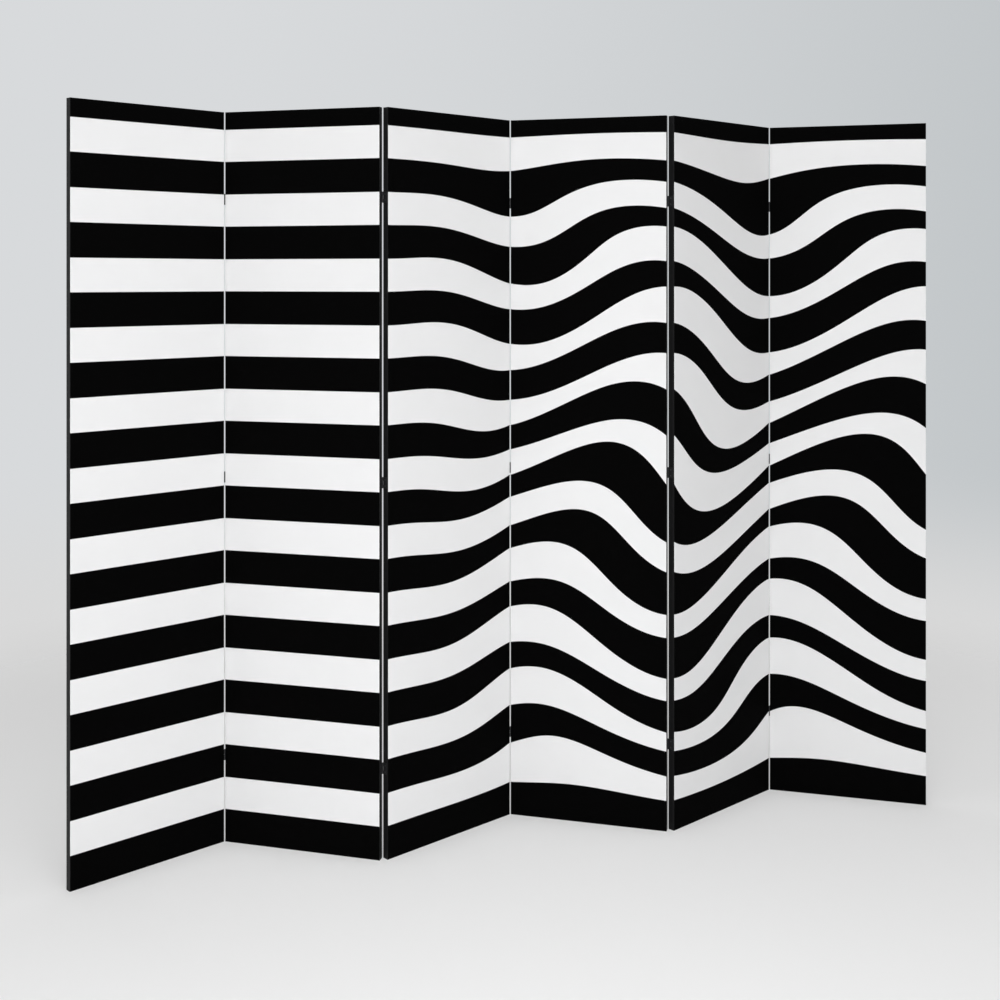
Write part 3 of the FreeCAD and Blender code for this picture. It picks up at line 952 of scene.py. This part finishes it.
class FOLDING_SCREEN_OT_fit_hinges(bpy.types.Operator):
    """Fits the leaves of the hinges on both sides of every fold, and finishes the pins"""

    bl_idname = "folding_screen.fit_hinges"
    bl_label = "Fit the hinges"

    def execute(self, context):
        hinge = context.scene.screen_hinge
        tree = make_leaf_tree()
        steel = make_lacquer("hinge_lacquer", hinge.steel, hinge.steel_roughness)
        for fold in range(1, len(FOLDS) + 1):
            for side, name in ((LEFT, "left"), (RIGHT, "right")):
                mesh = grow_mesh(
                    tree,
                    leaf_place(fold, side),
                    hinge,
                    hand=leaf_hand(fold, side),
                    mouth_radius=hinge.head_radius + hinge.head_play,
                    material=steel,
                )
                leaves = new_piece(f"fold_{fold}_{name}_hinge_leaves", [mesh])
                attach(leaves, f"panel_{leaf_panel(fold, side)}")
                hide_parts(f"fold_{fold}_{name}_leaves")
            frame["nodes"][f"fold_{fold}_pins"].material_slots[0].material = steel
        return {"FINISHED"}


class FOLDING_SCREEN_OT_drive_screws(bpy.types.Operator):
    """Drives the screws of every hinge into the edges of the panels"""

    bl_idname = "folding_screen.drive_screws"
    bl_label = "Drive the screws"

    def execute(self, context):
        hinge = context.scene.screen_hinge
        tree = make_screw_tree()
        steel = make_lacquer("screw_finish", hinge.screw_steel, hinge.screw_roughness)
        for panel in range(1, PANEL_COUNT + 1):
            meshes = [
                grow_mesh(
                    tree,
                    leaf_place(fold, side),
                    hinge,
                    hand=leaf_hand(fold, side),
                    face=hinge.gap / 2 - hinge.leaf_thickness,
                    seed=SEED_STEP * panel + fold,
                    material=steel,
                )
                for fold, side in hinged_edges(panel)
            ]
            screws = new_piece(f"panel_{panel}_wood_screws", meshes)
            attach(screws, f"panel_{panel}")
            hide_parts(f"panel_{panel}_hinge_screws")
        return {"FINISHED"}


# Each lamp's name, place, what it points at, width, height and watts
LAMPS = (
    ("near", (-1.6, -2.6, 1.6), (-0.3, 0.0, 1.0), 1.5, 2.0, 12.0),
    ("low", (-0.5, -2.2, 0.9), (-0.3, 0.0, 0.7), 1.2, 1.4, 13.0),
    ("slope", (-0.3, -3.0, 3.6), (-0.2, -0.6, 0.0), 3.0, 2.0, 55.0),
    ("left", (-3.6, -1.6, 1.2), (0.2, 0.0, 0.7), 1.6, 2.0, 17.0),
    ("fill", (2.4, -3.6, 1.6), (0.4, 0.0, 0.9), 2.0, 2.0, 27.0),
    ("top", (0.0, 0.6, 4.4), (0.0, 0.3, 0.0), 4.0, 3.0, 84.0),
)
CAMERA_PLACE = (-0.88895, -3.39286, 1.38736)
CAMERA_YAW = math.radians(13.8814)
# How far down a view slopes where the low backdrop begins and ends, as its z
LOW_BACKDROP = (-0.24, -0.12)


class FOLDING_SCREEN_OT_set_stage(bpy.types.Operator):
    """Sets out the floor, the light and the camera"""

    bl_idname = "folding_screen.set_stage"
    bl_label = "Set the stage"

    def execute(self, context):
        stage = context.scene.screen_stage
        self.lay_floor(stage)
        self.hang_backdrop(context.scene, stage)
        for lamp in LAMPS:
            self.set_lamp(*lamp)
        self.set_camera(context.scene, stage)
        context.scene.view_settings.view_transform = "Standard"
        return {"FINISHED"}

    def lay_floor(self, stage):
        """A round floor under the screen."""
        bpy.ops.mesh.primitive_circle_add(
            vertices=96, radius=stage.floor_radius, fill_type="NGON"
        )
        floor = bpy.context.object
        floor.name = "floor"
        floor.data.materials.append(make_floor())

    def hang_backdrop(self, scene, stage):
        """A world that lights evenly, and looks lighter on the left than on the right."""
        world = bpy.data.worlds.new("studio")
        world.use_nodes = True
        scene.world = world
        tree = world.node_tree
        tree.nodes.clear()
        axes = split(tree, add_node(tree, "ShaderNodeTexCoord").outputs["Generated"])
        side = ease(tree, axes["X"], 0.0, 1.0)
        down = ease(tree, axes["Z"], *LOW_BACKDROP, 1.0, 0.0)
        wall = colour_mix(tree, side, shade(stage.left), shade(stage.right))
        wall = colour_mix(tree, down, wall, shade(stage.low))
        seen = add_node(tree, "ShaderNodeBackground", {"Color": wall})
        sockets = {"Color": (1, 1, 1, 1), "Strength": stage.ambient}
        light = add_node(tree, "ShaderNodeBackground", sockets)
        mixed = shader_mix(tree, ray_is_seen(tree), light.outputs[0], seen.outputs[0])
        add_node(tree, "ShaderNodeOutputWorld", {"Surface": mixed})

    def set_lamp(self, name, place, target, width, height, watts):
        """A large soft white lamp that the camera doesn't see."""
        lamp = bpy.data.lights.new(name, "AREA")
        lamp.shape = "RECTANGLE"
        lamp.size, lamp.size_y = width, height
        lamp.energy = watts
        stand = bpy.data.objects.new(name, lamp)
        stand.location = place
        stand.rotation_euler = (Vector(target) - Vector(place)).to_track_quat("-Z", "Y").to_euler()
        stand.visible_camera = False
        bpy.context.collection.objects.link(stand)

    def set_camera(self, scene, stage):
        """A level camera, whose picture is shifted down to take in the floor."""
        lens = bpy.data.cameras.new("camera")
        lens.lens = stage.lens
        lens.shift_y = stage.shift
        camera = bpy.data.objects.new("camera", lens)
        camera.location = CAMERA_PLACE
        camera.rotation_euler = (math.radians(90), 0, -CAMERA_YAW)
        bpy.context.collection.objects.link(camera)
        scene.camera = camera


SETTINGS = (
    ("screen_print", PrintSettings),
    ("screen_cloth", ClothSettings),
    ("screen_wood", WoodSettings),
    ("screen_hinge", HingeSettings),
    ("screen_stage", StageSettings),
)
OPERATORS = (
    FOLDING_SCREEN_OT_set_stage,
    FOLDING_SCREEN_OT_paint_frames,
    FOLDING_SCREEN_OT_stretch_cloth,
    FOLDING_SCREEN_OT_fit_hinges,
    FOLDING_SCREEN_OT_drive_screws,
)


class FOLDING_SCREEN_PT_sidebar(bpy.types.Panel):
    """The settings of the folding screen, and the steps that make it"""

    bl_idname = "FOLDING_SCREEN_PT_sidebar"
    bl_label = "Folding screen"
    bl_space_type = "VIEW_3D"
    bl_region_type = "UI"
    bl_category = "Folding screen"

    def draw(self, context):
        for name, group in SETTINGS:
            box = self.layout.box()
            box.label(text=group.__doc__)
            for setting in group.__annotations__:
                box.prop(getattr(context.scene, name), setting)
        for operator in OPERATORS:
            self.layout.operator(operator.bl_idname)


def register():
    """Registers the settings, the operators and the panel."""
    for name, group in SETTINGS:
        bpy.utils.register_class(group)
        setattr(bpy.types.Scene, name, PointerProperty(type=group))
    for kind in (*OPERATORS, FOLDING_SCREEN_PT_sidebar):
        bpy.utils.register_class(kind)


def unregister():
    """Takes out what register put in."""
    for kind in (FOLDING_SCREEN_PT_sidebar, *reversed(OPERATORS)):
        bpy.utils.unregister_class(kind)
    for name, group in reversed(SETTINGS):
        delattr(bpy.types.Scene, name)
        bpy.utils.unregister_class(group)


def main():
    """Makes the whole screen."""
    register()
    bpy.ops.folding_screen.set_stage()
    bpy.ops.folding_screen.paint_frames()
    bpy.ops.folding_screen.stretch_cloth()
    bpy.ops.folding_screen.fit_hinges()
    bpy.ops.folding_screen.drive_screws()


if __name__ == "__main__":
    main()
